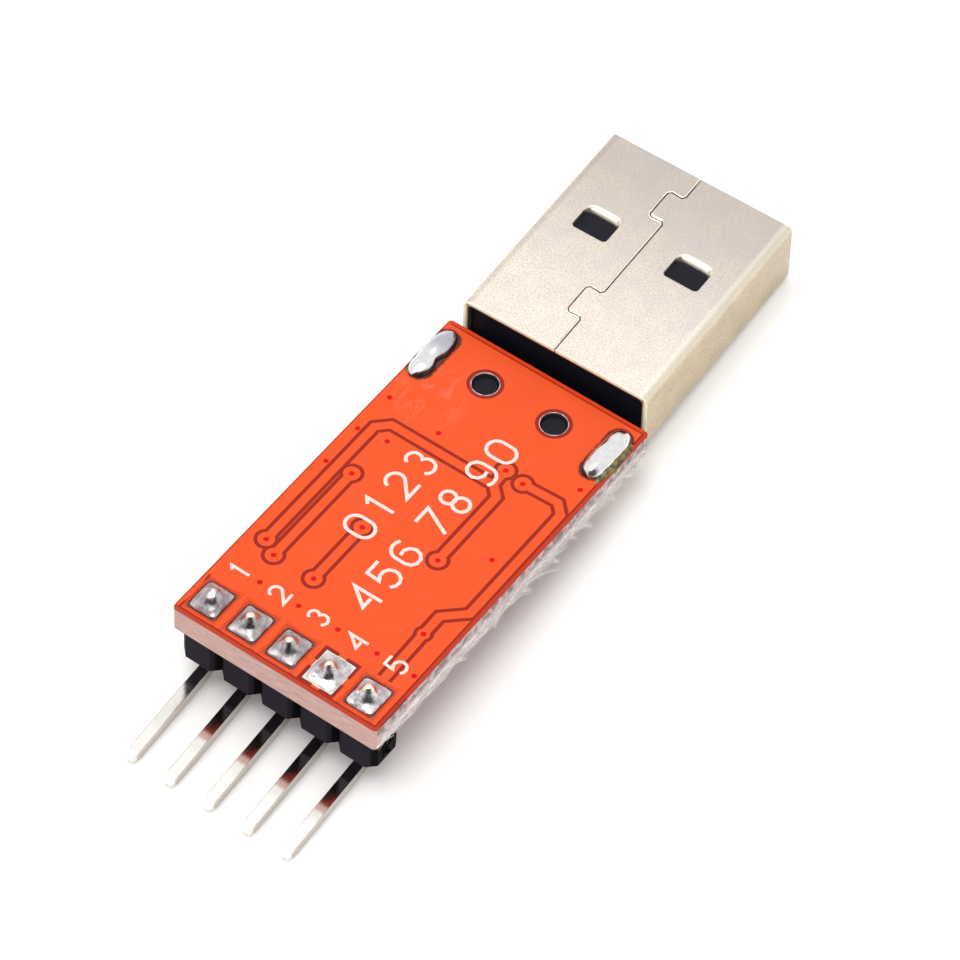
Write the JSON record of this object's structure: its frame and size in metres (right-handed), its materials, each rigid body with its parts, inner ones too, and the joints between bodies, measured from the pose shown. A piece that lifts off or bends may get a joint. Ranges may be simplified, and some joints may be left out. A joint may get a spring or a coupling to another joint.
{
  "type": "usb to serial adapter module",
  "caption": "Small adapter board with a flat metal bus plug on one end and a row of bent header pins on the other, parts on its underside.",
  "frame": {"origin": "middle of the bounding box in X and Y, at the lowest point of the bent pins in Z", "axes": "+X from the pins to the plug, parallel to the board; +Z out of the board's bare back, away from its parts"},
  "size_m": [0.0456, 0.0132, 0.0089],
  "materials": {
    "laminate": "matt glass-fibre laminate, cut edges rough",
    "copper": "copper foil",
    "plating": "tinned copper",
    "red_lacquer": "glossy orange-red lacquer",
    "white_print": "white print",
    "header_plastic": "blue-black moulded plastic",
    "pin_metal": "bright tin plate",
    "solder": "smooth grey solder",
    "nickel_sheet": "satin nickel-plated sheet",
    "insulator_plastic": "black moulded plastic",
    "contact_metal": "gold-coloured contact plating",
    "chip_plastic": "matt black moulding",
    "lead_metal": "tinned leads",
    "ceramic_grey": "grey ceramic",
    "lid_metal": "satin metal lid",
    "ceramic_tan": "tan ceramic",
    "end_metal": "tinned ends",
    "resistor_black": "black glaze",
    "lamp_base": "white base",
    "lamp_lens": "clear resin",
    "lamp_contact": "gold-coloured ends",
    "fuse_green": "green resin"
  },
  "bodies": {
    "root": {"circuit_board": "laminate", "copper_back": "copper", "copper_front": "copper", "hole_plating": "plating", "solder_mask_back": "red_lacquer", "solder_mask_front": "red_lacquer", "silkscreen_back": "white_print", "header_strip": "header_plastic", "header_pin_1": "pin_metal", "header_pin_2": "pin_metal", "header_pin_3": "pin_metal", "header_pin_4": "pin_metal", "header_pin_5": "pin_metal", "header_solder": "solder", "plug_shell": "nickel_sheet", "plug_insulator": "insulator_plastic", "plug_contact_1": "contact_metal", "plug_contact_2": "contact_metal", "plug_contact_3": "contact_metal", "plug_contact_4": "contact_metal", "contact_solder": "solder", "leg_solder": "solder", "chip_body": "chip_plastic", "chip_leads": "lead_metal", "crystal_base": "ceramic_grey", "crystal_lid": "lid_metal", "capacitor_bodies": "ceramic_tan", "capacitor_ends": "end_metal", "resistor_bodies": "resistor_black", "resistor_ends": "end_metal", "lamp_bases": "lamp_base", "lamp_lenses": "lamp_lens", "lamp_ends": "lamp_contact", "fuse_body": "fuse_green", "fuse_ends": "end_metal"}
  },
  "joints": []
}
